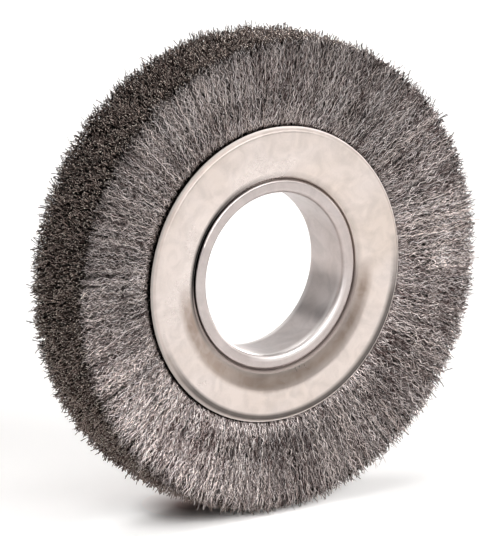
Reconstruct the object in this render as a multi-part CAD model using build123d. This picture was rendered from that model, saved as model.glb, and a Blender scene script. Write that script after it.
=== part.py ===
"""A six-inch, wide-face wire wheel brush for a bench grinder with a two-inch arbor hole.

A steel sleeve runs through the middle. Its ends are flared over two pressed side plates, and the
plates clamp three rows of crimped wire. Each row is folded over its own keeper ring.
The wheel turns about Y, its front faces -Y, and it stands on its tread with +Z up.
The origin is the middle of the arbor hole. All sizes are in millimetres, and every section is
drawn with the distance from the wheel's axis as x and the distance along the axis as y.
"""
from build123d import *
from math import cos, pi, radians, sin, tan
import os

# Driving sizes of the wheel
WHEEL_RADIUS = 76.2
TREAD_WIDTH = 30.0
BORE_RADIUS = 25.4

# Sleeve: a tube with flared ends
SLEEVE_WALL = 1.1
FLARE_FACE = 9.3             # outer face of each flared end, from the middle of the wheel
FLARE_RADIUS = 29.65
FLARE_BEND = 0.45            # inside radius of the bend from tube to flared end
FLARE_ROLL = 1.0             # rounding of the flared end's rim

# Side plates: sheet steel, pressed to shape. Each bend is given by its inside radius.
SHEET = 0.8
PLATE_HOLE = BORE_RADIUS + SLEEVE_WALL + FLARE_BEND + 0.1
SEAT_FACE = FLARE_FACE - SLEEVE_WALL    # outer face of the plate under the flare
SEAT_RADIUS, SEAT_BEND = 30.2, 0.3
SHOULDER_RADIUS, SHOULDER_FACE, SHOULDER_BEND = 30.6, 9.4, 0.3
CROWN_RADIUS, CROWN_FACE, CROWN_BEND = 36.4, 11.0, 5.0
PLATE_RADIUS, RIM_FACE = 46.3, 9.8      # outer corner of the rim, which slopes down from the crown
RIM_SLOPE, RIM_BEND = radians(39), 0.3
RIM_EDGE = 0.2

# Wire fill: three rows, folded round their keeper rings and nipped between the side plates
ROW_NAMES = ("front", "middle", "rear")
FOLD_RADIUS = (SEAT_FACE - SHEET) / len(ROW_NAMES)
ROOT_CLEARANCE = 0.1         # between the folded wires and the sleeve
KEEPER_RADIUS = BORE_RADIUS + SLEEVE_WALL + ROOT_CLEARANCE + FOLD_RADIUS
KEEPER_WIRE = 1.4            # radius of the ring's own round wire
JOIN_RADIUS, JOIN_FACE = 43.0, 3.6      # the middle row stands straight from here out
FAN_START, FAN_START_FACE = 44.0, 7.9   # the outer rows stay low past the plate's rim
FAN_HEEL, FAN_HEEL_FACE = 47.2, 8.5     # and fan out from here
FAN_KNEE, FAN_KNEE_FACE = 53.0, 11.5
TREAD_EDGE_DROP, TREAD_EDGE_WIDTH = 2.6, 1.6    # the outermost wires end short, in a sloping edge
FLAT_SPOT_HEIGHT = 75.0      # the wires on the floor give way to this height under the axis

# Tufts of crimped wire
TUFTS = 70
TUFT_START = 49.0
TIP_RAGGEDNESS = 0.8
TIP_POINT = 0.7              # how far a tuft's middle stands beyond its corners
TIP_GAP = 1.4                # between two tufts at their tips
CRIMP_DEPTH = 0.6
CRIMPS = {"front": 4, "middle": 2, "rear": 4}
STAGGER = {"front": 0.25, "middle": 0.75, "rear": 0.25}    # turn of each row, in tufts


def turned(section):
    """The solid that a section sweeps out about the wheel's axis."""
    return revolve(section, axis=Axis.Y, revolution_arc=360)


def bent_sheet(corners, thickness, bends):
    """The section of a sheet or wall bent along a line through its middle."""
    line = FilletPolyline(*corners, radius=[bend + thickness / 2 for bend in bends])
    return trace(line, line_width=thickness)


def bore_sleeve():
    """A tube whose wall bends out through a quarter turn at each end, with rounded rims."""
    wall, ends = BORE_RADIUS + SLEEVE_WALL / 2, FLARE_FACE - SLEEVE_WALL / 2
    corners = [(FLARE_RADIUS, ends), (wall, ends), (wall, -ends), (FLARE_RADIUS, -ends)]
    section = bent_sheet(corners, SLEEVE_WALL, [FLARE_BEND, FLARE_BEND])
    rims = section.vertices().filter_by(
        lambda v: abs(v.X - FLARE_RADIUS) < FLARE_ROLL and abs(v.Y) > ends)
    return turned(fillet(rims, FLARE_ROLL))


def rim_end(depth):
    """Where the side plate's rim ends, at a depth through the sheet."""
    return PLATE_RADIUS - depth * sin(RIM_SLOPE), RIM_FACE - depth * cos(RIM_SLOPE)


def side_plate():
    """A pressed disc: seat under the flare, shoulder, sloping zone, flat crown and sloping rim."""
    corners = [(r, face - SHEET / 2) for r, face in (
        (PLATE_HOLE, SEAT_FACE), (SEAT_RADIUS, SEAT_FACE), (SHOULDER_RADIUS, SHOULDER_FACE),
        (CROWN_RADIUS, CROWN_FACE))]
    end_radius, end_face = rim_end(SHEET / 2)
    rise = CROWN_FACE - SHEET / 2 - end_face
    corners += [(end_radius - rise / tan(RIM_SLOPE), end_face + rise), (end_radius, end_face)]
    section = bent_sheet(corners, SHEET, [SEAT_BEND, SHOULDER_BEND, CROWN_BEND, RIM_BEND])
    rim = section.vertices().filter_by(lambda v: abs(v.X - PLATE_RADIUS) < RIM_EDGE)
    return turned(fillet(rim, RIM_EDGE))


def keeper_ring(middle):
    """A hoop of round steel that a row of wires is folded over."""
    return turned(Pos(KEEPER_RADIUS, middle) * Circle(KEEPER_WIRE))


def clamped_ring(inner_side, outer_side):
    """The part of a row that the plates hold: wires folded round the keeper ring, and their legs.

    Each side is a list of corners of the section, from the keeper ring outwards.
    """
    middle = (inner_side[0][1] + outer_side[0][1]) / 2
    fold = ThreePointArc(outer_side[0], (KEEPER_RADIUS - FOLD_RADIUS, middle), inner_side[0])
    legs = Polyline(*inner_side, *reversed(outer_side))
    return turned(make_face(fold + legs)) - keeper_ring(middle)


def fanned_band(section):
    """A band round the wheel with the given section and one flat facet for each tuft."""
    corner = 1 / cos(pi / TUFTS)
    rings = [[(r * corner * cos(a), y, r * corner * sin(a)) for r, y in section]
             for a in ((2 * tuft + 1) * pi / TUFTS for tuft in range(TUFTS))]
    facets = []
    for here, there in zip(rings, rings[1:] + rings[:1]):
        for edge in range(len(section)):
            after = (edge + 1) % len(section)
            facets.append(Face(Wire.make_polygon([here[edge], here[after], there[after], there[edge]])))
    return Solid(Shell(facets))


def tuft_outline(crimps):
    """The tufts seen along the axis: wavy flanks that part at a point, and ragged ends."""
    points = []
    half_pitch = pi / TUFTS
    for tuft in range(TUFTS):
        middle = 2 * half_pitch * tuft
        corner = WHEEL_RADIUS - TIP_POINT - TIP_RAGGEDNESS * (1 + sin(2.4 * tuft + crimps))
        stations = [(TUFT_START, middle - half_pitch)]
        for flank, steps in ((-1, range(1, crimps + 1)), (1, range(crimps, 0, -1))):
            for step in steps:
                share = step / crimps
                radius = TUFT_START + share * (corner - TUFT_START)
                wave = CRIMP_DEPTH * (-1) ** step if step < crimps else 0
                shift = wave - flank * share * TIP_GAP / 2
                stations.append((radius, middle + flank * half_pitch + shift / radius))
            if flank == -1:
                stations.append((corner + TIP_POINT, middle))
        points += [(radius * cos(angle), radius * sin(angle)) for radius, angle in stations]
    return Polyline(*points, close=True)


def tufts(crimps, section):
    """Tufts of crimped wire, cut out of a fanned band."""
    outline = Plane.XZ * make_face(tuft_outline(crimps))
    return fanned_band(section) & extrude(outline, amount=TREAD_WIDTH, both=True)


def middle_row():
    """The row that stands straight between its neighbours."""
    side = [(KEEPER_RADIUS, FOLD_RADIUS), (JOIN_RADIUS, JOIN_FACE), (PLATE_RADIUS, JOIN_FACE)]
    ring = clamped_ring([(r, -y) for r, y in side], side)
    section = [(JOIN_RADIUS, -JOIN_FACE), (WHEEL_RADIUS, -JOIN_FACE),
               (WHEEL_RADIUS, JOIN_FACE), (JOIN_RADIUS, JOIN_FACE)]
    return ring + tufts(CRIMPS["middle"], section)


def outer_row(name):
    """A row that fans out past the side plate, drawn for the rear of the wheel."""
    root_face = SEAT_FACE - SHEET
    pinch_radius, pinch_face = rim_end(SHEET)
    inner_side = [(KEEPER_RADIUS, FOLD_RADIUS), (JOIN_RADIUS, JOIN_FACE), (PLATE_RADIUS, JOIN_FACE)]
    outer_side = [(KEEPER_RADIUS, root_face), (SEAT_RADIUS, root_face),
                  (pinch_radius, pinch_face), (PLATE_RADIUS, pinch_face)]
    section = [(JOIN_RADIUS, JOIN_FACE), (WHEEL_RADIUS, JOIN_FACE),
               (WHEEL_RADIUS, TREAD_WIDTH / 2 - TREAD_EDGE_WIDTH),
               (WHEEL_RADIUS - TREAD_EDGE_DROP, TREAD_WIDTH / 2),
               (FAN_KNEE, FAN_KNEE_FACE), (FAN_HEEL, FAN_HEEL_FACE), (FAN_START, FAN_START_FACE)]
    return clamped_ring(inner_side, outer_side) + tufts(CRIMPS[name], section)


def wire_row(name):
    """A row of crimped wire in its place, with the flat spot where the wheel stands."""
    row = middle_row() if name == "middle" else outer_row(name)
    if name == "front":
        row = mirror(row, about=Plane.XZ)
    floor = Pos(0, 0, -FLAT_SPOT_HEIGHT) * Box(
        2 * WHEEL_RADIUS, 2 * TREAD_WIDTH, WHEEL_RADIUS, align=(Align.CENTER, Align.CENTER, Align.MAX))
    return Rot(0, STAGGER[name] * 360 / TUFTS, 0) * row - floor


def build():
    """All the pieces by name."""
    plate = side_plate()
    parts = {
        "bore_sleeve": bore_sleeve(),
        "front_side_plate": mirror(plate, about=Plane.XZ),
        "rear_side_plate": plate,
    }
    for number, name in enumerate(ROW_NAMES):
        parts[name + "_wire_row"] = wire_row(name)
        parts[name + "_keeper_ring"] = keeper_ring(2 * FOLD_RADIUS * (number - 1))
    return parts


os.makedirs("parts", exist_ok=True)
for node, shape in build().items():
    export_step(shape, f"parts/{node}.step")
    print(node, "solids", len(shape.solids()), "volume", round(shape.volume))
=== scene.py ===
# %% [markdown]
# # A wire wheel brush
#
# This lesson dresses a bench grinder's wire wheel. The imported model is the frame: a flared sleeve,
# two pressed side plates, three keeper rings and three rows of wire. The metal pieces keep their
# shapes and get finishes. The rows are solid blocks of tufts in the frame, and here they give way
# to what the eye sees on the real wheel: thousands of thin crimped wires over a dark, packed middle.

# %% Load the frame
import bpy
import numpy as np
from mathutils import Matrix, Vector


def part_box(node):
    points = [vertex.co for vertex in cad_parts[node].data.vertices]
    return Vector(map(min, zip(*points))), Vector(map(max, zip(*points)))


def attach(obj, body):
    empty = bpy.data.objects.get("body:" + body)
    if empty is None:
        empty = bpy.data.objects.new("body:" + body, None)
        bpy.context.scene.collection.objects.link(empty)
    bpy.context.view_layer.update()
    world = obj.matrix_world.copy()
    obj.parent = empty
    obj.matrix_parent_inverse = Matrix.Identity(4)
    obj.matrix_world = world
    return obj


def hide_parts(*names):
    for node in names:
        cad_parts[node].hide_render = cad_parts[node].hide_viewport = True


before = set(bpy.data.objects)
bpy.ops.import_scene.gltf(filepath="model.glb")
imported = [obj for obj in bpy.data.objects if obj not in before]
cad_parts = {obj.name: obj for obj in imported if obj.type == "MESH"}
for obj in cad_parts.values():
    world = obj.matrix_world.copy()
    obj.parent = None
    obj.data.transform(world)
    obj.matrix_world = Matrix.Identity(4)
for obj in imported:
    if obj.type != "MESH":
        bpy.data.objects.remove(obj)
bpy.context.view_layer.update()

MM = 0.001
BODY = "root"
ROWS = ("front", "middle", "rear")
print("nodes in the frame:", ", ".join(sorted(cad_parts)))

# %% [markdown]
# ## Sizes taken from the frame
#
# Every piece that is added has to sit on the frame, so the plate's radius, the tread's width and
# the floor's height are read from the nodes' boxes. No box gives the wheel's nominal radius or the
# outside of the sleeve's tube, so those two are typed as the frame's source has them. Sizes are in
# millimetres, and turn into metres only when a mesh or a finish is made.

# %% Read the wheel's sizes
WHEEL_RADIUS = 76.2
SLEEVE_OUTSIDE = 26.5
FLOOR_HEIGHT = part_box("middle_wire_row")[0][2] / MM
PLATE_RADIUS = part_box("front_side_plate")[1][0] / MM
TREAD_HALF_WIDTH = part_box("rear_wire_row")[1][1] / MM
print("wheel", WHEEL_RADIUS, "plate", round(PLATE_RADIUS, 2), "half width", round(TREAD_HALF_WIDTH, 2),
      "floor", round(FLOOR_HEIGHT, 2))

# %% [markdown]
# ## The side of the wire fill
#
# The wires leave the plates squeezed together and spring outwards, quickly at first and then ever
# less. One curve of half width against radius describes that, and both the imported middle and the
# single wires follow it.

# %% Describe the fan of the wires
FAN_RADII = [26.6, 44.0, 46.3, 47.5, 50.0, 53.0, 60.0, 68.0, 76.2]
FAN_HALF_WIDTHS = [8.0, 8.2, 8.8, 9.6, 10.6, 11.5, 12.8, 14.0, 14.9]


def fan(radius):
    """Half the width of the wire fill at a radius."""
    return np.interp(radius, FAN_RADII, FAN_HALF_WIDTHS)


for radius in (PLATE_RADIUS, 60, WHEEL_RADIUS):
    print("at radius", round(radius, 1), "the fill is", round(2 * float(fan(radius)), 1), "mm wide")

# %% [markdown]
# ## Turning arrays into pieces
#
# Blender can build a mesh from plain lists, and numpy arrays fill them fast. Each piece made here
# is linked to the scene, rides on the wheel's one body and gets its material.

# %% Make a piece from points and faces
def piece(name, points, faces, material):
    """A smooth mesh object in the wheel's frame, from points in millimetres."""
    mesh = bpy.data.meshes.new(name)
    mesh.from_pydata(points * MM, [], faces)
    mesh.validate()
    mesh.shade_smooth()
    obj = bpy.data.objects.new(name, mesh)
    bpy.context.scene.collection.objects.link(obj)
    mesh.materials.append(material)
    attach(obj, BODY)
    triangles = sum(len(polygon.vertices) - 2 for polygon in mesh.polygons)
    print(name, len(mesh.vertices), "points,", triangles, "triangles")
    return obj


# %% [markdown]
# ## Helpers for shader nodes
#
# A shader effect that several finishes share is a node group with named inputs. Short helpers keep
# the groups readable: they start a group, feed a socket, and add a node whose sockets are fed by
# name or in their order.

# %% Start a group and add nodes
def start_group(name, inputs, outputs):
    """A shader node group and its sockets. Four numbers are a colour, and so is the output Colour."""
    group = bpy.data.node_groups.new(name, "ShaderNodeTree")
    for label, value in inputs.items():
        kind = "Color" if isinstance(value, tuple) else "Float"
        socket = group.interface.new_socket(label, in_out="INPUT", socket_type="NodeSocket" + kind)
        socket.default_value = value
    for label in outputs:
        kind = "Color" if label == "Colour" else "Float"
        group.interface.new_socket(label, in_out="OUTPUT", socket_type="NodeSocket" + kind)
    print(name, "takes", list(inputs), "and gives", outputs)
    return group, group.nodes.new("NodeGroupInput").outputs, group.nodes.new("NodeGroupOutput").inputs


def feed(tree, socket, value):
    """Links a socket to another socket, or gives it a value of its own."""
    if isinstance(value, bpy.types.NodeSocket):
        tree.links.new(value, socket)
    else:
        socket.default_value = value


def add(tree, kind, settings=None, *values, **sockets):
    """A shader node. Sockets are fed in their order, or by name with underscores for spaces."""
    node = tree.nodes.new("ShaderNode" + kind)
    for key, value in (settings or {}).items():
        setattr(node, key, value)
    for socket, value in zip(node.inputs, values):
        feed(tree, socket, value)
    for key, value in sockets.items():
        feed(tree, node.inputs[key.replace("_", " ")], value)
    return node


# %% [markdown]
# ## Reckoning with nodes
#
# These helpers each give out one socket: a sum, a measure of two vectors, a noise, a blend of two
# colours, or a number that runs from one level to another while a value crosses two limits. Fade
# is the same as ramp for lengths in millimetres.

# %% Reckon, blend and fade
def sums(tree, operation, *values):
    """The result of a Math node on one, two or three numbers or sockets."""
    return add(tree, "Math", {"operation": operation}, *values).outputs[0]


def measure(tree, operation, first, second):
    """The number that a Vector Math node makes of two vectors."""
    return add(tree, "VectorMath", {"operation": operation}, first, second).outputs["Value"]


def noise(tree, place, scale, **sockets):
    """A noise pattern at a place. A larger scale makes it finer."""
    return add(tree, "TexNoise", Vector=place, Scale=scale, **sockets).outputs["Fac"]


def blend_colours(tree, factor, first, second, how="MIX"):
    """The colour between two colours."""
    node = add(tree, "Mix", {"data_type": "RGBA", "blend_type": how})
    for index, value in ((0, factor), (6, first), (7, second)):
        feed(tree, node.inputs[index], value)
    return node.outputs[2]


def ramp(tree, value, start, stop, low=0.0, high=1.0):
    """A number that runs evenly from low to high while a value goes from start to stop."""
    return add(tree, "MapRange", Value=value, From_Min=start, From_Max=stop, To_Min=low,
               To_Max=high).outputs["Result"]


def fade(tree, length, start, stop, low=0.0, high=1.0):
    """A ramp for a length, with its start and stop in millimetres."""
    return ramp(tree, length, start * MM, stop * MM, low, high)


# %% [markdown]
# ## Wheel coordinates
#
# A wheel is round, so its finishes want round coordinates: the distance from the axis, the
# distance around it and the distance along it. The distance around is the angle times a fixed
# radius, which keeps a pattern's scale in millimetres. What lies on one side only, such as a
# stain, is placed by plain X and Z, or by how far it lies in a direction.

# %% Build the wheel coordinates group
AROUND_RADIUS = 60 * MM


def plain_coordinates(tree):
    """A point's place on the wheel, whole and in its X, Y and Z parts."""
    place = add(tree, "TexCoord").outputs["Object"]
    return place, add(tree, "SeparateXYZ", Vector=place).outputs


def lies_towards(tree, axes, direction):
    """How far a point lies in a direction, which is given by its X and Z parts."""
    return sums(tree, "MULTIPLY_ADD", axes["X"], direction[0],
                sums(tree, "MULTIPLY", axes["Z"], direction[1]))


def wheel_coordinates():
    group, _, out = start_group("Wheel coordinates", {}, ["Radius", "Around", "Along"])
    _, axes = plain_coordinates(group)
    squares = sums(group, "ADD", sums(group, "MULTIPLY", axes["X"], axes["X"]),
                   sums(group, "MULTIPLY", axes["Z"], axes["Z"]))
    group.links.new(sums(group, "SQRT", squares), out["Radius"])
    angle = sums(group, "ARCTAN2", axes["Z"], axes["X"])
    group.links.new(sums(group, "MULTIPLY", angle, AROUND_RADIUS), out["Around"])
    group.links.new(axes["Y"], out["Along"])
    return group


WHEEL_COORDINATES = wheel_coordinates()

# %% [markdown]
# ## Steel that has been handled
#
# Bright steel is never one colour. Oil, fingers and a little tarnish leave soft warm patches, and
# the same patches are slightly duller. The group mixes a clean and a warm colour by a soft noise
# and gives out a matching roughness. Fine specks and larger smudges shade it a little everywhere.

# %% Build the handled steel group
PATCH_LIMITS = (0.35, 0.7)   # the noise goes from clean to warm across this
SPECK_SCALE, SMUDGE_SCALE = 1800.0, 170.0
SPECK_SHARE = 0.25
MARK_LIMITS, MARK_SHADES = (0.45, 0.75), (0.9, 1.04)
SPECK_ROUGHNESS = 0.04


def handled_steel():
    group, given, out = start_group(
        "Handled steel",
        {"Clean": (0.8, 0.8, 0.8, 1), "Warm": (0.7, 0.6, 0.5, 1), "Patch size": 60.0, "Warmth": 0.5,
         "Polish": 0.25, "Dullness": 0.1},
        ["Colour", "Roughness"])
    place, _ = plain_coordinates(group)
    patches = noise(group, place, given["Patch size"], Detail=3.0, Roughness=0.55, Distortion=0.6)
    specks = noise(group, place, SPECK_SCALE, Detail=2.0)
    smudges = noise(group, place, SMUDGE_SCALE, Detail=3.0, Distortion=1.2)
    spread = ramp(group, patches, *PATCH_LIMITS)
    share = sums(group, "MULTIPLY", spread, given["Warmth"])
    tinted = blend_colours(group, share, given["Clean"], given["Warm"])
    marks = sums(group, "MULTIPLY_ADD", specks, SPECK_SHARE, smudges)
    shade = ramp(group, marks, *MARK_LIMITS, *MARK_SHADES)
    group.links.new(blend_colours(group, 1.0, tinted, shade, "MULTIPLY"), out["Colour"])
    rough = sums(group, "MULTIPLY_ADD", spread, given["Dullness"], given["Polish"])
    group.links.new(sums(group, "MULTIPLY_ADD", specks, SPECK_ROUGHNESS, rough), out["Roughness"])
    return group


HANDLED_STEEL = handled_steel()

# %% [markdown]
# ## Fine working lines
#
# Rolled sheet has a faint grain in one direction, and a drawn tube has rings round its bore. Both
# are a noise that is stretched a great deal along the lines. The group takes the coordinate along
# the lines and the one across them, and gives out a height for a bump.

# %% Build the working lines group
def working_lines():
    group, given, out = start_group(
        "Working lines",
        {"Along lines": 0.0, "Across lines": 0.0, "Line width": 0.0004, "Line length": 0.02},
        ["Height"])
    along = sums(group, "DIVIDE", given["Along lines"], given["Line length"])
    across = sums(group, "DIVIDE", given["Across lines"], given["Line width"])
    place = add(group, "CombineXYZ", X=along, Y=across).outputs["Vector"]
    group.links.new(noise(group, place, 1.0, Detail=4.0, Roughness=0.6), out["Height"])
    return group


WORKING_LINES = working_lines()

# %% [markdown]
# ## Painted shade in a groove
#
# Where two pieces meet, the groove between them is painted darker, as the shade that falls into it.
# The group darkens a colour where a coordinate passes from one value to another. On the sleeve the
# painted shade grows outwards, on the plate it ends a little further out, and the plate's bend has a
# painted dark line of it too. In the groove it is darkest on the upper left of the wheel and faint
# elsewhere.

# %% Build the groove shade group
SHADE_FADES = (-30.0, -12.0)       # the left level turns into the right level across this stretch
SHADE_FADES_TOWARDS = (1.0, -0.3)  # to the right and a little down


def groove_shade():
    group, given, out = start_group(
        "Groove shade",
        {"Colour": (0.5, 0.5, 0.5, 1), "Place": 0.0, "Dirty at": 0.0, "Clean at": 1.0, "Left level": 0.1,
         "Right level": 0.5},
        ["Colour"])
    _, axes = plain_coordinates(group)
    sideways = lies_towards(group, axes, SHADE_FADES_TOWARDS)
    darkest = fade(group, sideways, *SHADE_FADES, low=given["Left level"], high=given["Right level"])
    level = ramp(group, given["Place"], given["Dirty at"], given["Clean at"], low=darkest)
    group.links.new(blend_colours(group, 1.0, given["Colour"], level, "MULTIPLY"), out["Colour"])
    return group


GROOVE_SHADE = groove_shade()

# %% [markdown]
# ## Starting a material
#
# A finish starts as a material whose Principled shader is all metal, or not at all. Numbers that
# are the same all over go straight on the shader's sockets. A named group is placed with its own
# values each time.

# %% Start a material and place a group
def start_material(name, metallic=1.0):
    """A material, its node tree and its shader."""
    material = bpy.data.materials.new(name)
    material.use_nodes = True
    shader = material.node_tree.nodes["Principled BSDF"]
    shader.inputs["Metallic"].default_value = metallic
    return material, material.node_tree, shader


def place_group(tree, group, **sockets):
    """A group in a material, with its sockets set or linked."""
    return add(tree, "Group", {"node_tree": group}, **sockets).outputs


def paint_shade(tree, colour, place, limits, left, right):
    """A colour under painted groove shade, darkest at the first of two limits in millimetres."""
    return place_group(tree, GROOVE_SHADE, Colour=colour, Place=place, Dirty_at=limits[0] * MM,
                       Clean_at=limits[1] * MM, Left_level=left, Right_level=right)["Colour"]


def raise_lines(tree, shader, strength, height, **lines):
    """A bump of working lines, joined to the shader."""
    pattern = place_group(tree, WORKING_LINES, **lines)["Height"]
    bump = add(tree, "Bump", Strength=strength, Distance=height, Height=pattern)
    tree.links.new(bump.outputs["Normal"], shader.inputs["Normal"])


# %% [markdown]
# ## The brown crescent on the side plates
#
# A brown crescent lies on the lower half of the plates' sloping zone. It is partly an oil stain and
# partly a painted dark reflection. It starts faint near the flare and fades out before the flat ring.
# Its outer edge moves in on the right, it is broken up into faint drops, and it is darker at the two ends of
# the crescent.

# %% Lay the oil stain and painted dark reflection
LOWER_HALF = (2.0, -7.0)     # marks of the lower half come in downwards across this
CRESCENT_INNER_EDGE = (31.0, 32.6)
CRESCENT_START = 0.4              # the film's strength at its inner edge
CRESCENT_OUTER_EDGE = (37.4, 35.0)
CRESCENT_NARROWS = (-5.0, 15.0)   # left to right across this, the outer edge moves in
CRESCENT_MOVES = 1.2
CRESCENT_DROP_SCALE = 240.0
CRESCENT_DROP_LIMITS = (0.35, 0.6)
CRESCENT_BETWEEN_DROPS = 0.75
CRESCENT_ENDS = (-28.0, -18.0)    # the two thick ends lie above this
STAIN_AND_REFLECTION_LOW, STAIN_AND_REFLECTION_ENDS = (0.46, 0.36, 0.3, 1), (0.32, 0.25, 0.21, 1)


def oil_and_dark_reflection(tree, colour, radius, low):
    """A colour under the crescent of oil stain and painted dark reflection."""
    place, axes = plain_coordinates(tree)
    moved = fade(tree, axes["X"], *CRESCENT_NARROWS, high=CRESCENT_MOVES * MM)
    outer = fade(tree, sums(tree, "ADD", radius, moved), *CRESCENT_OUTER_EDGE)
    inner = fade(tree, radius, *CRESCENT_INNER_EDGE, low=CRESCENT_START)
    uneven = noise(tree, place, CRESCENT_DROP_SCALE, Detail=3.0, Distortion=1.0)
    drops = ramp(tree, uneven, *CRESCENT_DROP_LIMITS, low=CRESCENT_BETWEEN_DROPS)
    film = sums(tree, "MULTIPLY", sums(tree, "MULTIPLY", outer, inner), sums(tree, "MULTIPLY", low, drops))
    # the crescent's colour, partly oil stain and partly painted dark reflection
    oil = blend_colours(tree, fade(tree, axes["Z"], *CRESCENT_ENDS), STAIN_AND_REFLECTION_LOW, STAIN_AND_REFLECTION_ENDS)
    return blend_colours(tree, film, colour, oil)


# The crescent that prints as an oil film is partly oil stain and partly painted dark reflection.
print("oil film between", CRESCENT_INNER_EDGE[0], "and", CRESCENT_OUTER_EDGE[0], "mm from the axis")

# %% [markdown]
# ## The bend and the cut edge of the side plates
#
# The flat ring bends down to the rim in a painted dark line, which stands in for the shade and dark
# reflection in the crease. The line is darkest at the bottom of the wheel and a little wider on the
# right. Outside it the sheet's cut edge shows, painted dark as shade on the left and pale as a painted
# highlight from the middle to the right.

# %% Mark the bend and the cut edge
BEND_RADIUS = 44.6
BEND_LIMITS = (0.4, 1.4)     # the line fades out between these distances from its middle
BEND_WIDENS = (-5.0, 30.0)   # left to right across this, a distance from it counts less
BEND_RIGHT = 0.6
BEND_TOWARDS = (-0.25, 1.0)  # up and a little to the left
BEND_TOP = (-2.0, -24.0)
BEND_LEVELS = (0.97, 0.2)
# The cut edge's tones are painted: shade on the left, a highlight from the middle to the right.
CUT_EDGE = (45.5, 45.9)
CUT_HIGHLIGHT_SPREAD = (-30.0, 0.0)    # left to right across this, the cut edge gets pale
CUT_SHADE_TONE, CUT_HIGHLIGHT_TONE = (0.5, 0.46, 0.43, 1), (0.98, 0.9, 0.86, 1)


def bend_line(tree, colour, axes, radius):
    """A colour under the painted dark line of the bend."""
    distance = sums(tree, "ABSOLUTE", sums(tree, "SUBTRACT", radius, BEND_RADIUS * MM))
    counted = sums(tree, "MULTIPLY", distance, fade(tree, axes["X"], *BEND_WIDENS, 1.0, BEND_RIGHT))
    shade = fade(tree, lies_towards(tree, axes, BEND_TOWARDS), *BEND_TOP, *BEND_LEVELS)
    return paint_shade(tree, colour, counted, BEND_LIMITS, shade, shade)


def cut_edge(tree, colour, axes, radius):
    """A colour with the sheet's cut edge outside it, in painted shade and painted highlight."""
    edge = blend_colours(tree, fade(tree, axes["X"], *CUT_HIGHLIGHT_SPREAD), CUT_SHADE_TONE, CUT_HIGHLIGHT_TONE)
    return blend_colours(tree, fade(tree, radius, *CUT_EDGE), colour, edge)


print("bend line at", BEND_RADIUS, "and cut edge from", CUT_EDGE[0], "mm from the axis")

# %% [markdown]
# ## The side plates' sheet steel
#
# The plates are pressed from bright cold-rolled sheet. Their grain runs straight across the whole
# disc, because the sheet was rolled before the disc was cut, so the lines use plain X and Z. Over
# the handled steel lie the brown crescent of oil stain and painted dark reflection, painted shade in
# the groove round the flare, the bend line, a duller ring painted darker as shade on the lower half of
# the small shoulder beside the flare, and the cut edge. The rim outside the bend is matt.

# %% Finish the side plates
GROOVE_OUTSIDE = (31.1, 32.5)
GROOVE_LEVELS = (0.01, 0.8)
# The shoulder's ring is painted darker as shade on its lower half, and made duller there.
SHOULDER = (31.2, 30.8)
SHOULDER_SHADE_TONE = (0.3, 0.25, 0.23, 1)
SHOULDER_ROUGHNESS = 0.3
MATT_RIM = (44.5, 45.1)
MATT_ROUGHNESS = 0.3
SHEET_CLEAN, SHEET_WARM = (0.7, 0.625, 0.59, 1), (0.65, 0.55, 0.475, 1)


def sheet_steel():
    material, tree, shader = start_material("Bright sheet steel")
    steel = place_group(tree, HANDLED_STEEL, Clean=SHEET_CLEAN, Warm=SHEET_WARM, Patch_size=38.0,
                        Warmth=0.6, Polish=0.25, Dullness=0.08)
    _, axes = plain_coordinates(tree)
    radius = place_group(tree, WHEEL_COORDINATES)["Radius"]
    low = fade(tree, axes["Z"], *LOWER_HALF)
    oiled_and_reflecting = oil_and_dark_reflection(tree, steel["Colour"], radius, low)
    shaded = paint_shade(tree, oiled_and_reflecting, radius, GROOVE_OUTSIDE, *GROOVE_LEVELS)
    bent = bend_line(tree, shaded, axes, radius)
    shoulder = fade(tree, radius, *SHOULDER, high=low)
    shoulder_shaded = blend_colours(tree, shoulder, bent, SHOULDER_SHADE_TONE)
    tree.links.new(cut_edge(tree, shoulder_shaded, axes, radius), shader.inputs["Base Color"])
    matt = fade(tree, radius, *MATT_RIM, high=MATT_ROUGHNESS)
    dull = sums(tree, "MULTIPLY_ADD", shoulder, SHOULDER_ROUGHNESS, matt)
    tree.links.new(sums(tree, "ADD", dull, steel["Roughness"]), shader.inputs["Roughness"])
    raise_lines(tree, shader, strength=0.12, height=0.03 * MM, Along_lines=axes["X"],
                Across_lines=axes["Z"], Line_width=0.25 * MM, Line_length=12 * MM)
    return material


SHEET_STEEL = sheet_steel()
for side in ("front", "rear"):
    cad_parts[side + "_side_plate"].material_slots[0].material = SHEET_STEEL
print("side plates finished with", SHEET_STEEL.name)

# %% [markdown]
# ## The sleeve's drawn tube
#
# The sleeve was drawn through a ring and then flared by a turning tool, so its lines run round the
# bore. It is a little greyer than the sheet, and painted shade darkens it beside the groove round the
# flare. The lip where the tube bends out to the flare has a painted highlight at its lower right, where
# it is a little rougher too. The keeper rings take the same finish in plainer colours.

# %% Finish the sleeve and the keeper rings
GROOVE_INSIDE = (29.55, 29.3)
SLEEVE_GROOVE_RIGHT = 0.75
LIP = (-19.4, -18.0)         # the place along the axis less the radius, near the flare's bend
LIP_OUTSIDE = (27.5, 26.7)
LIP_TOWARDS = (0.5, -0.87)   # down and to the right
LIP_LOW = (15.0, 23.0)
# The lip's pale colour is a painted highlight, standing in for the light that its bend reflects.
LIP_PAINTED_HIGHLIGHT = (0.82, 0.77, 0.75, 1)
LIP_ROUGHNESS = 0.12


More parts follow.
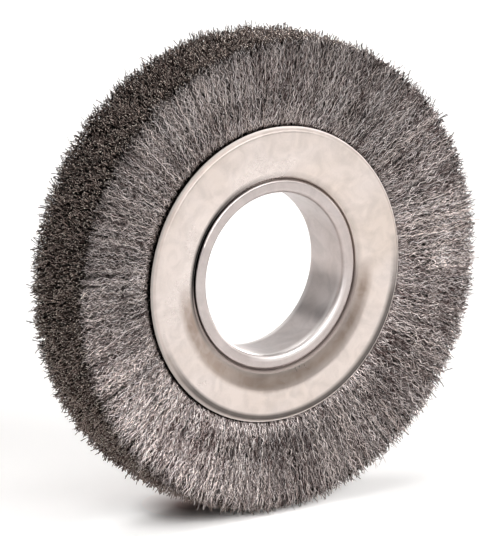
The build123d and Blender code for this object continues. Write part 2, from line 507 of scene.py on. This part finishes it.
def tube_steel(name, clean, warm, polish, groove_left):
    material, tree, shader = start_material(name)
    steel = place_group(tree, HANDLED_STEEL, Clean=clean, Warm=warm, Patch_size=55.0, Warmth=0.4,
                        Polish=polish, Dullness=0.08)
    wheel = place_group(tree, WHEEL_COORDINATES)
    shaded = paint_shade(tree, steel["Colour"], wheel["Radius"], GROOVE_INSIDE, groove_left, SLEEVE_GROOVE_RIGHT)
    _, axes = plain_coordinates(tree)
    bend = sums(tree, "SUBTRACT", sums(tree, "ABSOLUTE", wheel["Along"]), wheel["Radius"])
    lip = fade(tree, wheel["Radius"], *LIP_OUTSIDE, high=fade(tree, bend, *LIP))
    lip_highlight = fade(tree, lies_towards(tree, axes, LIP_TOWARDS), *LIP_LOW, high=lip)
    tree.links.new(blend_colours(tree, lip_highlight, shaded, LIP_PAINTED_HIGHLIGHT), shader.inputs["Base Color"])
    rough = sums(tree, "MULTIPLY_ADD", lip_highlight, LIP_ROUGHNESS, steel["Roughness"])
    tree.links.new(rough, shader.inputs["Roughness"])
    across = sums(tree, "ADD", wheel["Radius"], wheel["Along"])
    raise_lines(tree, shader, strength=0.15, height=0.03 * MM, Along_lines=wheel["Around"],
                Across_lines=across, Line_width=0.3 * MM, Line_length=30 * MM)
    return material


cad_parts["bore_sleeve"].material_slots[0].material = tube_steel(
    "Drawn tube steel", (0.54, 0.485, 0.47, 1), (0.5, 0.42, 0.385, 1), polish=0.29, groove_left=0.06)
KEEPER_STEEL = tube_steel(
    "Plain hoop steel", (0.45, 0.43, 0.41, 1), (0.36, 0.3, 0.25, 1), polish=0.35, groove_left=0.6)
for row in ROWS:
    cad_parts[row + "_keeper_ring"].material_slots[0].material = KEEPER_STEEL
print("sleeve and keeper rings finished")

# %% [markdown]
# ## A tone for each wire
#
# Brush wire is tempered in oil, which leaves it between grey and brown-black, and no two wires
# come out quite alike. Geometry's Random Per Island gives every separate wire in a mesh its own
# number, which picks its tone and tint, and shifts the noise that breaks it into short bright and
# dark strokes. The strokes are painted glints and shade of the crimp's bends, over the wire's own
# uneven tone. A slow noise adds the paler and darker stretches of the real fill.

# %% Pick each wire's tone
STROKE_SCALE = 430.0
STROKE_SHIFT = 40.0          # sets one wire's strokes apart from another's
STROKE_SHARE, STRETCH_SHARE, OWN_SHARE = 1.4, 0.6, 0.35
TONE_LIMITS = (0.85, 1.45)
TINT_STEPS = 17.0            # so that the tint doesn't follow the tone
COOL_TINT, WARM_TINT = (0.97, 1.0, 1.02, 1), (1.03, 1.0, 0.97, 1)


def own_tone(tree, place, each, given):
    """A wire's colour before its place changes it, and the noise of its strokes."""
    slow = noise(tree, place, given["Stretch size"], Detail=2.0)
    strokes = add(tree, "TexNoise", {"noise_dimensions": "4D"}, Vector=place, Scale=STROKE_SCALE,
                  W=sums(tree, "MULTIPLY", each, STROKE_SHIFT), Detail=1.0).outputs["Fac"]
    mixed = sums(tree, "MULTIPLY_ADD", slow, STRETCH_SHARE, sums(tree, "MULTIPLY", each, OWN_SHARE))
    share = ramp(tree, sums(tree, "MULTIPLY_ADD", strokes, STROKE_SHARE, mixed), *TONE_LIMITS)
    picked = sums(tree, "FRACT", sums(tree, "MULTIPLY", each, TINT_STEPS))
    tint = blend_colours(tree, picked, COOL_TINT, WARM_TINT)
    tone = blend_colours(tree, share, given["Dark"], given["Pale"])
    return blend_colours(tree, 1.0, tone, tint, "MULTIPLY"), strokes


print("stroke noise scale", STROKE_SCALE)

# %% [markdown]
# ## How a wire's place changes its tone
#
# Levels paint light and shade onto the tone: near the wires' ends, which are painted paler on the
# right side of the wheel, near the edges of the tread, near the roots, and on three stretches that are
# painted paler as light falling there: at the lower left, at the right and at the lower right.

# %% Change the tone with the place
WIRE_END = 73.2
RIGHT_SIDE = (0.0, 50.0)     # left to right across this, the ends get a paler painted light
TREAD_EDGE = (9.0, 14.0)     # across this zone the eye sees ever deeper between the tread's wires
ROOT_ZONE = (50.0, 56.0)
PAINTED_LIGHT_REACH = (37.0, 58.0)          # how far out the painted light starts and is full
LOWER_LEFT, LOWER_RIGHT = (-0.67, -0.74), (0.8, -0.6)


def place_level(tree, axes, wheel, given):
    """What a wire's tone is multiplied by at its place: painted light and shade."""
    rightness = fade(tree, axes["X"], *RIGHT_SIDE)
    ends_level = sums(tree, "MULTIPLY_ADD", rightness, given["Right ends"], given["Ends level"])
    ends = ramp(tree, wheel["Radius"], given["Ends from"], WIRE_END * MM, 1.0, ends_level)
    edges = fade(tree, sums(tree, "ABSOLUTE", wheel["Along"]), *TREAD_EDGE, 1.0, given["Edge level"])
    roots = fade(tree, wheel["Radius"], *ROOT_ZONE, low=given["Root level"])
    left = fade(tree, lies_towards(tree, axes, LOWER_LEFT), *PAINTED_LIGHT_REACH, high=given["Low dust"])
    right = fade(tree, axes["X"], *PAINTED_LIGHT_REACH, high=given["Right dust"])
    corner = fade(tree, lies_towards(tree, axes, LOWER_RIGHT), *PAINTED_LIGHT_REACH, high=given["Right dust"])
    painted_light = sums(tree, "ADD", sums(tree, "ADD", left, 1.0), sums(tree, "ADD", right, corner))
    return sums(tree, "MULTIPLY", sums(tree, "MULTIPLY", ends, edges), sums(tree, "MULTIPLY", roots, painted_light))


# The stretches that print as dust are painted light.
print("dust comes in from", PAINTED_LIGHT_REACH[0], "to", PAINTED_LIGHT_REACH[1], "mm out")

# %% [markdown]
# ## The wire's own finish
#
# One group joins the tone and the levels. The flat cut at a wire's end faces outwards, and its true
# normal tells it from the wire's sides, so it gets a colour of its own: bare cut steel on the side
# wires, and on the tread a much paler one that is partly a painted highlight. The side wires and the
# tread's wire ends use the group with their own colours and levels, and the tread's wires are painted
# far darker than the side wires, as the shade between the packed ends.

# %% Build the wire finishes
CUT_FACING = (0.7, 0.8)
STROKE_ROUGHNESS = 0.2


def wire_tone():
    group, given, out = start_group(
        "Wire tone",
        {"Dark": (0.1, 0.1, 0.1, 1), "Pale": (0.5, 0.5, 0.5, 1), "Stretch size": 50.0, "Gloss": 0.3,
         "Ends from": 0.07, "Ends level": 1.0, "Edge level": 1.0, "Root level": 1.0,
         "Cut end": (0.5, 0.5, 0.5, 1), "Right ends": 0.0, "Low dust": 0.0, "Right dust": 0.0},
        ["Colour", "Roughness"])
    geometry = add(group, "NewGeometry").outputs
    place, axes = plain_coordinates(group)
    wheel = place_group(group, WHEEL_COORDINATES)
    own, strokes = own_tone(group, place, geometry["Random Per Island"], given)
    toned = blend_colours(group, 1.0, own, place_level(group, axes, wheel, given), "MULTIPLY")
    outwards = add(group, "CombineXYZ", X=sums(group, "DIVIDE", axes["X"], wheel["Radius"]),
                   Z=sums(group, "DIVIDE", axes["Z"], wheel["Radius"])).outputs["Vector"]
    facing = measure(group, "DOT_PRODUCT", geometry["True Normal"], outwards)
    cut = ramp(group, facing, *CUT_FACING)
    group.links.new(blend_colours(group, cut, toned, given["Cut end"]), out["Colour"])
    rough = sums(group, "MULTIPLY_ADD", strokes, STROKE_ROUGHNESS, given["Gloss"])
    group.links.new(rough, out["Roughness"])
    return group


WIRE_TONE = wire_tone()


def wire_steel(name, **tones):
    material, tree, shader = start_material(name)
    tone = place_group(tree, WIRE_TONE, Stretch_size=45.0, Gloss=0.14, **tones)
    tree.links.new(tone["Colour"], shader.inputs["Base Color"])
    tree.links.new(tone["Roughness"], shader.inputs["Roughness"])
    return material


# The side wires' levels paint light and shade: darker ends, paler ends on the right, brighter roots, and
# paler stretches at the lower left and the right.
SIDE_WIRE = wire_steel("Crimped wire", Dark=(0.075, 0.0445, 0.0425, 1), Pale=(0.66, 0.6, 0.58, 1),
                       Cut_end=(0.5, 0.45, 0.42, 1), Ends_from=71.0 * MM, Ends_level=0.82, Right_ends=0.45,
                       Root_level=1.07, Low_dust=0.5, Right_dust=0.15)
# The tread's wires are the same wire painted far darker, as shade between the packed ends, with cut ends
# partly a painted highlight and tips brightened as painted light.
TREAD_WIRE = wire_steel("Wire ends", Dark=(0.0115, 0.0056, 0.005, 1), Pale=(0.135, 0.107, 0.095, 1),
                        Cut_end=(1.0, 0.91, 0.8, 1), Ends_from=72.3 * MM, Ends_level=2.2, Edge_level=0.55)
print("wire finishes:", SIDE_WIRE.name, "and", TREAD_WIRE.name)

# %% [markdown]
# ## The finish of the imported middle
#
# Nobody can see more than a few millimetres into the fill, so its inside is one dark solid, whose
# near-black colour is painted shade between the wires. Streaks in its colour and its bump let the gaps
# between the outer wires show more wires and not a wall.

# %% Build the imported wire finish
STREAKS_ACROSS, STREAKS_OUTWARDS = 1900.0, 520.0    # the larger, the finer
STREAK_LIMITS = (0.4, 0.68)
STREAK_DARK, STREAK_PALE = (0.012, 0.010, 0.009, 1), (0.2, 0.18, 0.17, 1)
STREAK_ROUGHNESS = (0.6, 0.4)
STREAK_HEIGHT = 0.6


def packed_wire():
    material, tree, shader = start_material("Packed wire")
    wheel = place_group(tree, WHEEL_COORDINATES)
    place = add(tree, "CombineXYZ", X=sums(tree, "MULTIPLY", wheel["Around"], STREAKS_ACROSS),
                Y=sums(tree, "MULTIPLY", wheel["Radius"], STREAKS_OUTWARDS),
                Z=sums(tree, "MULTIPLY", wheel["Along"], STREAKS_ACROSS)).outputs["Vector"]
    streaks = noise(tree, place, 1.0, Detail=3.0, Roughness=0.7, Distortion=0.5)
    share = ramp(tree, streaks, *STREAK_LIMITS)
    tree.links.new(blend_colours(tree, share, STREAK_DARK, STREAK_PALE), shader.inputs["Base Color"])
    tree.links.new(ramp(tree, streaks, *STREAK_LIMITS, *STREAK_ROUGHNESS), shader.inputs["Roughness"])
    bump = add(tree, "Bump", Strength=1.0, Distance=STREAK_HEIGHT * MM, Height=streaks)
    tree.links.new(bump.outputs["Normal"], shader.inputs["Normal"])
    return material


PACKED_WIRE = packed_wire()
print("packed middle finished with", PACKED_WIRE.name)

# %% [markdown]
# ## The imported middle
#
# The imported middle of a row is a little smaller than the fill, so that the outer wires stand out
# of it. It is a turned section: points of the section times angles round the wheel. The middle row
# is a plain ring, and the outer rows follow the fan on their outer side.

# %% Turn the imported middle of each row
CORE_SINK = 0.9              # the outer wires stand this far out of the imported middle's sides
CORE_SINK_ROOT = 0.4         # and this far beside the plate
CORE_SINK_REACH = 8          # in full this far outside the plate
CORE_RADIUS = 70.8
CORE_CORNER = (1.5, 1.2)     # the corner at the tread is cut off this far in and this far sideways
CORE_RADII = [SLEEVE_OUTSIDE + 0.2, PLATE_RADIUS - 2, PLATE_RADIUS + 1, 53, 60,
              CORE_RADIUS - CORE_CORNER[0], CORE_RADIUS]
CORE_STEPS = 120
ROW_JOIN = 3.6


def core_section(row):
    """The section of a row's packed middle, as radius and place along the axis, going round."""
    sink = np.interp(CORE_RADII, [PLATE_RADIUS, PLATE_RADIUS + CORE_SINK_REACH], [CORE_SINK_ROOT, CORE_SINK])
    sunk = fan(CORE_RADII) - sink
    sunk[-1] -= CORE_CORNER[1]
    root = CORE_RADII[0]
    if row == "middle":
        return [(root, -ROW_JOIN), (CORE_RADIUS, -ROW_JOIN), (CORE_RADIUS, ROW_JOIN), (root, ROW_JOIN)]
    side = 1 if row == "rear" else -1
    outer = [(r, side * y) for r, y in zip(CORE_RADII, sunk)]
    return [(root, side * ROW_JOIN), (CORE_RADIUS, side * ROW_JOIN)] + outer[::-1]


def turned_section(section):
    """Points and faces of a section turned about the wheel's axis."""
    count = len(section)
    angles = np.linspace(0, 2 * np.pi, CORE_STEPS, endpoint=False)
    points = np.array([[(r * np.cos(a), y, r * np.sin(a)) for r, y in section] for a in angles])
    faces = []
    for step in range(CORE_STEPS):
        here, there = step * count, (step + 1) % CORE_STEPS * count
        for edge in range(count):
            after = (edge + 1) % count
            faces.append((here + edge, here + after, there + after, there + edge))
    return points.reshape(-1, 3), faces


for row in ROWS:
    points, faces = turned_section(core_section(row))
    core = piece(row + "_packed_wire", points, faces, PACKED_WIRE)
    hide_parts(row + "_wire_row")

# %% [markdown]
# ## One crimped wire, and then thousands
#
# A crimped wire runs outwards in a zigzag with a half wave of about two millimetres. Its middle
# line is worked out in wheel coordinates: a radius, a distance around and a place along the axis
# for each bend. A whole batch of wires is worked out at once, as arrays with a row for each wire.
# No wire runs straight out. Each one wanders a little from bend to bend, and that makes the fill
# look like a felt of short strokes instead of combed hair.

# %% Work out the wires' middle lines
CRIMP_HALF_WAVE = 1.6
CRIMP_DEPTH = 0.6
CRIMP_UNEVEN = 0.3           # how far a bend may shift, as a share of the half wave
DEPTH_RANGE = (0.4, 1.3)     # the shares of the crimp's depth that single bends have
WANDER = 0.25
ASIDE_DEPTH, ASIDE_WANDER = 0.7, 0.6    # wires zigzag and wander less along the axis than around it
DRIFT_WAVES = 9
DRIFT_RADIUS = 62
DRIFT_RANGE = (0.6, 1.5)
DRIFT_STRETCH = 3            # a drift's waves are this much longer outwards
dice = np.random.RandomState(7)


def drift(around, radius, size, seed):
    """A smooth wandering, of about -1 to 1, that varies round the wheel and outwards."""
    waves = np.random.RandomState(seed)
    total = np.zeros(np.broadcast(around, radius).shape)
    for _ in range(DRIFT_WAVES):
        turns = np.round(2 * np.pi * DRIFT_RADIUS / size * waves.uniform(*DRIFT_RANGE))
        outwards = waves.uniform(-1, 1) * 2 * np.pi / (size * DRIFT_STRETCH)
        total += np.sin(turns * around + outwards * radius + waves.uniform(0, 2 * np.pi))
    return total / np.sqrt(DRIFT_WAVES)


def wandering(count, bends):
    """A random walk for each wire, in millimetres, that starts at nothing."""
    steps = dice.normal(0, WANDER, (count, bends + 1))
    steps[:, 0] = 0
    return np.cumsum(steps, axis=1)


def wire_lines(angle, root, tip, along, lean_around, lean_along, bends):
    """Middle lines of wires. All values but along, a function, and bends are arrays."""
    count = len(angle)
    share = np.linspace(0, 1, bends + 1)[None, :]
    radius = root[:, None] + share * (tip - root)[:, None]
    uneven = dice.uniform(-CRIMP_UNEVEN, CRIMP_UNEVEN, (count, bends + 1)) * (0 < share) * (share < 1)
    radius = radius + uneven * CRIMP_HALF_WAVE
    zigzag = np.where(np.arange(bends + 1) % 2 == 0, 1.0, -1.0)[None, :]
    zigzag = zigzag * dice.choice([-1, 1], count)[:, None]
    depth = CRIMP_DEPTH * dice.uniform(*DEPTH_RANGE, (count, bends + 1)) * zigzag
    plane = dice.uniform(0, 2 * np.pi, count)[:, None]
    reach = radius - root[:, None]
    around = depth * np.cos(plane) + lean_around[:, None] * reach + wandering(count, bends)
    aside = (depth * np.sin(plane) * ASIDE_DEPTH + lean_along[:, None] * reach
             + wandering(count, bends) * ASIDE_WANDER)
    return radius, angle[:, None] + around / radius, along(radius) + aside


print("the outer wires bend every", CRIMP_HALF_WAVE, "mm")

# %% [markdown]
# ## From lines to closed tubes
#
# Each wire becomes a three-sided tube with a small face at each end. Three sides are enough for a
# wire about 0.3 mm thick, and they keep nearly two hundred thousand bends affordable. The ring of
# corners at each bend stands across the wire's run there. Wires that would go through the floor
# under the wheel are shortened to end above it.

# %% Build the tubes
WIRE_RADIUS = 0.145
TIP_TAPER = 0.55             # the ends of the side wires are worn thin
TAPER_START = 0.75           # from this share of their length on
FLOOR_GAP = 0.05
CORNERS = 3


def end_above_floor(radius, angle):
    """Shrinks the radii of wires that point down, so that their tips end at the floor."""
    depth = -(radius[:, -1] * np.sin(angle[:, -1]))
    room = -FLOOR_HEIGHT - WIRE_RADIUS - FLOOR_GAP
    squeeze = np.where(depth > room, (room / np.maximum(depth, 1)), 1.0)[:, None]
    root = radius[:, :1]
    return root + (radius - root) * (squeeze * radius[:, -1:] - root) / (radius[:, -1:] - root)


def tubes(radius, angle, along, thickness=WIRE_RADIUS, taper=TIP_TAPER):
    """Points and faces of closed three-sided tubes round the middle lines."""
    radius = end_above_floor(radius, angle)
    middle = np.stack([radius * np.cos(angle), along, radius * np.sin(angle)], axis=2)
    count, stations = radius.shape
    run = np.gradient(middle, axis=1)
    run /= np.linalg.norm(run, axis=2, keepdims=True)
    first = np.cross(run, [0.0, 1.0, 0.0])
    first /= np.linalg.norm(first, axis=2, keepdims=True)
    second = np.cross(run, first)
    twist = dice.uniform(0, 2 * np.pi, (count, 1, 1))
    share = np.linspace(0, 1, stations)
    size = thickness * np.interp(share, [0, TAPER_START, 1], [1, 1, taper])[None, :, None]
    turns = [twist + k * 2 * np.pi / CORNERS for k in range(CORNERS)]
    rings = [middle + size * (np.cos(turn) * first + np.sin(turn) * second) for turn in turns]
    points = np.stack(rings, axis=2).reshape(-1, 3)
    wire = np.arange(count)[:, None] * stations * CORNERS
    step = wire + np.arange(stations - 1)[None, :] * CORNERS
    faces = []
    for k in range(CORNERS):
        after = (k + 1) % CORNERS
        corners = [step + k, step + after, step + CORNERS + after, step + CORNERS + k]
        faces.append(np.stack(corners, axis=2).reshape(-1, 4))
    last = wire[:, 0] + (stations - 1) * CORNERS
    caps = np.concatenate([np.stack([wire[:, 0] + 2, wire[:, 0] + 1, wire[:, 0]], axis=1),
                           np.stack([last, last + 1, last + 2], axis=1)])
    return points, np.concatenate(faces).tolist() + caps.tolist()


print("wires of", 2 * WIRE_RADIUS, "mm as tubes with", CORNERS, "sides")

# %% [markdown]
# ## The wires on the two sides
#
# On each side the outer wires start under the plate's brim and run out to the tread. Shorter ones
# rise from between them further out, because the fan has more room there. The wandering pulls
# neighbouring wires together into thin locks, and the gaps between the locks are the dark dashes
# that the eye picks out on the real wheel. The lists give each layer's number of wires, root, sink
# under the fan's surface and half wave, and each side's sign and fullness.

# %% Lay the side wires
ROOT_RADIUS = PLATE_RADIUS - 1.4
ROOT_SPREAD = (-0.4, 1.6)
LOCK_SIZE, LOCK_PULL = 2.2, 0.3
SWEEP_SIZE, SWEEP = 14.0, 0.06
SWEEP_RADIUS = 60.0
OWN_LEAN = 0.04
SINK_SPREAD = 0.3
SINK_START = 0.3             # the share of its sink at a wire's root
OPENING = 8.0                # the wires sink fully and gather fully this far from the roots
PROUD = 0.1                  # no middle line runs further out of the fan
TIP_RADIUS, TIP_SPREAD = 73.3, 0.6
SIDE_TRIM = 0.1              # the side wires end this much short of the tread
STRAY_SHARE, STRAY_REACH = 0.3, 1.1
STRAY_LIMIT = WHEEL_RADIUS - 0.3
UNEVEN_TRIM = 3.0            # some wires end up to this much shorter
SIDE_LAYERS = [("outer", 1650, ROOT_RADIUS, 0.3, CRIMP_HALF_WAVE), ("inner", 1150, ROOT_RADIUS, 0.8, 2.3),
               ("risen", 1500, 57.0, 0.4, CRIMP_HALF_WAVE)]
SIDES = [("front", -1, 1.0), ("rear", 1, 0.64)]


def tip_radii(count):
    """Where wires end: most near the trimmed face, and a few strays further out."""
    tips = TIP_RADIUS + TIP_SPREAD * dice.uniform(-1, 1, count)
    strays = dice.uniform(0, 1, count) < STRAY_SHARE
    return np.minimum(tips + strays * np.abs(dice.normal(0, STRAY_REACH, count)), STRAY_LIMIT)


def side_wires(side, count, root, sink, half_wave, seed):
    """A layer of wires on one side of the wheel, at a depth of sink under the fan's surface."""
    angle = (np.arange(count) + dice.uniform(-0.5, 0.5, count)) * 2 * np.pi / count
    roots = root + dice.uniform(*ROOT_SPREAD, count)
    tips = tip_radii(count) - SIDE_TRIM - UNEVEN_TRIM * dice.uniform(0, 1, count) ** 2
    bends = int(round((TIP_RADIUS - root) / half_wave))
    depth = sink + dice.uniform(-SINK_SPREAD, SINK_SPREAD, count)
    lean = SWEEP * drift(angle, SWEEP_RADIUS, SWEEP_SIZE, seed) + dice.normal(0, OWN_LEAN, count)

    def along(radius):
        opening = np.clip((radius - ROOT_RADIUS) / OPENING, SINK_START, 1)
        return fan(radius) - depth[:, None] * opening

    radius, around, aside = wire_lines(angle, roots, tips, along, lean, np.zeros(count), bends)
    gathered = np.clip((radius - ROOT_RADIUS) / OPENING, 0, 1)
    pull = LOCK_PULL * drift(around, radius, LOCK_SIZE, seed + 1) * gathered
    aside = np.minimum(aside, fan(radius) + PROUD)
    return tubes(radius, around + pull / radius, side * aside)


for side, sign, fullness in SIDES:
    for number, (layer, count, root, sink, half_wave) in enumerate(SIDE_LAYERS):
        seed = 10 * number + (sign + 2) * 100
        points, faces = side_wires(sign, int(count * fullness), root, sink, half_wave, seed)
        piece(f"{side}_{layer}_wires", points, faces, SIDE_WIRE)

# %% [markdown]
# ## The wires of the tread
#
# Seen from the edge, the wheel is a field of wire ends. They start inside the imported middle, stand
# a few millimetres out of it and lean a little every way. Near the two sides they lean outwards
# with the fan, and some end short. The places come from a grid with a jitter, which spreads them
# evenly and yet shows no rows, and the same wandering as before gathers them into small locks.

# %% Stand the tread wires
TREAD_ROOT, TREAD_ROOT_SPREAD = CORE_RADIUS - 0.6, 0.8
TREAD_SPACING = 0.71
TREAD_MARGIN = 0.3
TREAD_PROUD = 0.05
TREAD_THICKNESS = 0.115
TREAD_BURR = 1.5             # trimming leaves the ends wider
TREAD_BENDS = 2
TREAD_LEANS = [(0.08, 2.2, 0.2), (0.06, 2.6, 0.16)]    # the locks' pull and size, and a wire's own lean
TREAD_FAN = 0.035            # how much the wires at the tread's edges lean outwards
TREAD_WAVES = (0.35, 9.0)    # slow unevenness of the tread: height and size
TREAD_TRIM = (11.5, 15.0)    # wires end short between these places along the axis


def tread_wires(low, high, seed):
    """Short wires that fill the tread between two places along the axis."""
    rows = int(round((high - low) / TREAD_SPACING))
    columns = int(round(2 * np.pi * TIP_RADIUS / TREAD_SPACING))
    along, around = np.meshgrid(np.arange(rows) + 0.5, np.arange(columns))
    along = low + (along.ravel() + dice.uniform(-0.5, 0.5, rows * columns)) * (high - low) / rows
    angle = (around.ravel() + dice.uniform(-0.5, 0.5, rows * columns)) * 2 * np.pi / columns
    count = len(angle)
    lean_around, lean_along = [
        pull * drift(angle, along * DRIFT_STRETCH, size, seed + number) + dice.normal(0, own, count)
        for number, (pull, size, own) in enumerate(TREAD_LEANS)]
    lean_along += TREAD_FAN * along / TREAD_HALF_WIDTH
    roots = np.full(count, TREAD_ROOT) - dice.uniform(0, TREAD_ROOT_SPREAD, count)
    edge = np.clip((np.abs(along) - TREAD_TRIM[0]) / (TREAD_TRIM[1] - TREAD_TRIM[0]), 0, 1)
    tips = (tip_radii(count) + TREAD_WAVES[0] * drift(angle, along, TREAD_WAVES[1], seed + 2)
            - edge ** 2 * UNEVEN_TRIM * dice.uniform(0, 1, count))
    tips = np.minimum(tips, WHEEL_RADIUS)
    start = along * fan(TREAD_ROOT) / fan(WHEEL_RADIUS)
    radius, turned, aside = wire_lines(angle, roots, tips, lambda r: start[:, None] + 0 * r,
                                       lean_around, lean_along, TREAD_BENDS)
    limit = fan(radius) + TREAD_PROUD
    return tubes(radius, turned, np.clip(aside, -limit, limit), TREAD_THICKNESS, TREAD_BURR)


half_width = TREAD_HALF_WIDTH - TREAD_MARGIN
tread_edges = np.linspace(-half_width, half_width, len(ROWS) + 1)
for number, name in enumerate(ROWS):
    points, faces = tread_wires(tread_edges[number], tread_edges[number + 1], 500 + 10 * number)
    piece(name + "_tread_wires", points, faces, TREAD_WIRE)

# %% [markdown]
# ## The studio
#
# The photograph has a white sweep and soft boxes in a darker room. The floor is a plain white sheet
# that keeps the wheel's shadow. It reaches far behind the wheel, so it is the background as well.
# Its paper is seen a little whiter than it lights the wheel, by the camera and in the metal alike.
# Two soft patches change it near the wheel: a paler one in front, painted light that lifts the wheel's
# shadow there, and a dark one beside the place where the wheel stands, a painted shadow which deepens
# the shadow there.

# %% Lay the floor
FLOOR_SIZE = 8.0
PAPER_SEEN = (1.15, 1.13275, 1.12125, 1)
PAPER_TONES = (0.9, 0.9, 0.9, 1), (0.93, 0.93, 0.93, 1)
PATCHES = [((-25.0, -28.0), (22.0, 55.0), (1.4, 1.4, 1.4, 1)),
           ((-20.0, 9.0), (4.0, 19.0), (0.23, 0.18, 0.17, 1))]


def seen_rays(tree):
    """Which rays see the scene: the camera's own, and those that metal or glass sends on."""
    path = add(tree, "LightPath").outputs
    return path["Is Camera Ray"], sums(tree, "MAXIMUM", path["Is Glossy Ray"], path["Is Transmission Ray"])


def mix_shaders(tree, factor, first, second):
    """One shader where the factor is 0, and the other where it is 1."""
    return add(tree, "MixShader", None, factor, first, second).outputs[0]


def paper_seen(tree):
    """The sheet's colour as it is seen. A patch has a middle, the reach of its edge and a tone."""
    place, _ = plain_coordinates(tree)
    tone = PAPER_SEEN
    for middle, reach, change in PATCHES:
        distance = measure(tree, "DISTANCE", place, (middle[0] * MM, middle[1] * MM, 0))
        tone = blend_colours(tree, fade(tree, distance, *reach, 1.0, 0.0), tone, change, "MULTIPLY")
    return tone


def floor_paper():
    material, tree, shader = start_material("Floor paper", metallic=0.0)
    mottle = add(tree, "TexNoise", Scale=3.0, Detail=2.0).outputs["Fac"]
    tree.links.new(blend_colours(tree, mottle, *PAPER_TONES), shader.inputs["Base Color"])
    shader.inputs["Roughness"].default_value = 0.9
    shader.inputs["Specular IOR Level"].default_value = 0.1
    pale = add(tree, "BsdfDiffuse", Color=paper_seen(tree))
    seen = mix_shaders(tree, sums(tree, "MAXIMUM", *seen_rays(tree)), shader.outputs[0], pale.outputs[0])
    tree.links.new(seen, tree.nodes["Material Output"].inputs["Surface"])
    return material


bpy.ops.mesh.primitive_plane_add(size=FLOOR_SIZE, location=(0, 0, FLOOR_HEIGHT * MM))
floor = bpy.context.object
floor.name = "floor"
floor.data.materials.append(floor_paper())
print("floor at", round(floor.location.z, 4))

# %% [markdown]
# ## Soft boxes on the dome
#
# Steel shows what stands around it, so the lights are painted on the world, where the plates mirror
# them and the wires glint with them. Each soft box is a round patch with a soft edge. A direction
# on the dome is inside the patch when its dot product with the patch's middle is near one. The
# list gives azimuth, elevation and radius in degrees, and strength. The first eight boxes stand in
# front, the strong one stands low on the right behind the wheel, and the last five hang behind it
# and on its left. The camera sees a white world, and so does metal where the backdrop stands.

# %% Paint the world
SOFT_BOXES = [(0, 25, 12, 3.3), (345, 25, 12, 2.2), (0, 35, 12, 3.2), (30, 35, 12, 5.6),
              (330, 5, 12, 1.4), (60, 15, 12, 1.3), (75, 5, 12, 3.2), (75, 35, 12, 2.3),
              (120, 5, 18, 13.9), (165, 60, 12, 4.0), (195, 45, 12, 1.2), (210, 15, 12, 1.0),
              (285, 60, 12, 4.0), (315, 45, 12, 1.2)]
SOFT_EDGE = (1.3, 0.7)       # the patch fades in between these shares of its radius
ROOM_LEVEL = 0.06
BACKDROP = (160, 12, 22)


def compass(azimuth, elevation):
    """A direction from degrees. Azimuth 0 is in front of the wheel and 90 is on its right."""
    azimuth, elevation = np.radians(azimuth), np.radians(elevation)
    level = np.cos(elevation)
    return Vector((np.sin(azimuth) * level, -np.cos(azimuth) * level, np.sin(elevation)))


def soft_box(tree, place, azimuth, elevation, radius, strength):
    """The light of one round patch of the dome."""
    nearness = measure(tree, "DOT_PRODUCT", place, compass(azimuth, elevation))
    edge, inside = np.cos(np.radians(np.array(SOFT_EDGE) * radius))
    return add(tree, "MapRange", {"interpolation_type": "SMOOTHSTEP"}, Value=nearness, From_Min=edge,
               From_Max=inside, To_Max=strength).outputs["Result"]


def paint_world():
    world = bpy.data.worlds.new("Studio")
    bpy.context.scene.world = world
    world.use_nodes = True
    tree = world.node_tree
    tree.nodes.clear()
    place = add(tree, "TexCoord").outputs["Generated"]
    level = ROOM_LEVEL
    for box in SOFT_BOXES:
        level = sums(tree, "ADD", soft_box(tree, place, *box), level)
    room, white = (add(tree, "Background", Color=(1, 1, 1, 1), Strength=strength).outputs[0]
                   for strength in (level, 1.0))
    straight, mirrored = seen_rays(tree)
    backdrop = sums(tree, "MULTIPLY", mirrored, soft_box(tree, place, *BACKDROP, 1.0))
    seen = mix_shaders(tree, sums(tree, "MAXIMUM", straight, backdrop), room, white)
    tree.links.new(seen, add(tree, "OutputWorld").inputs["Surface"])


paint_world()
print("world painted with", len(SOFT_BOXES), "soft boxes")

# %% [markdown]
# ## The camera
#
# The viewing angle was worked out from the circles that the photograph shows: the bore, the flare,
# the plate and the tread. The focal length is in pixels of the photograph's frame, and turns into
# millimetres on the sensor. A small shift puts the wheel's axis at its place in the frame.

# %% Set the camera
FRAME_WIDTH, FRAME_HEIGHT = 500, 536
TOWARDS_CAMERA = compass(-34.45, 13.3)
DISTANCE = 1.002
FOCAL_PIXELS = 3243
AXIS_PIXEL = (259.4, 269.0)

camera_data = bpy.data.cameras.new("camera")
camera_data.sensor_width = 36.0
camera_data.lens = FOCAL_PIXELS / FRAME_HEIGHT * camera_data.sensor_width
camera_data.shift_x = -(AXIS_PIXEL[0] - FRAME_WIDTH / 2) / FRAME_HEIGHT
camera_data.shift_y = (AXIS_PIXEL[1] - FRAME_HEIGHT / 2) / FRAME_HEIGHT
camera = bpy.data.objects.new("camera", camera_data)
camera.location = TOWARDS_CAMERA * DISTANCE
camera.rotation_euler = TOWARDS_CAMERA.to_track_quat("Z", "Y").to_euler()
bpy.context.scene.collection.objects.link(camera)
bpy.context.scene.camera = camera
bpy.context.scene.view_settings.view_transform = "Standard"
print("camera at", [round(v, 3) for v in camera.location], "lens", round(camera_data.lens, 1))
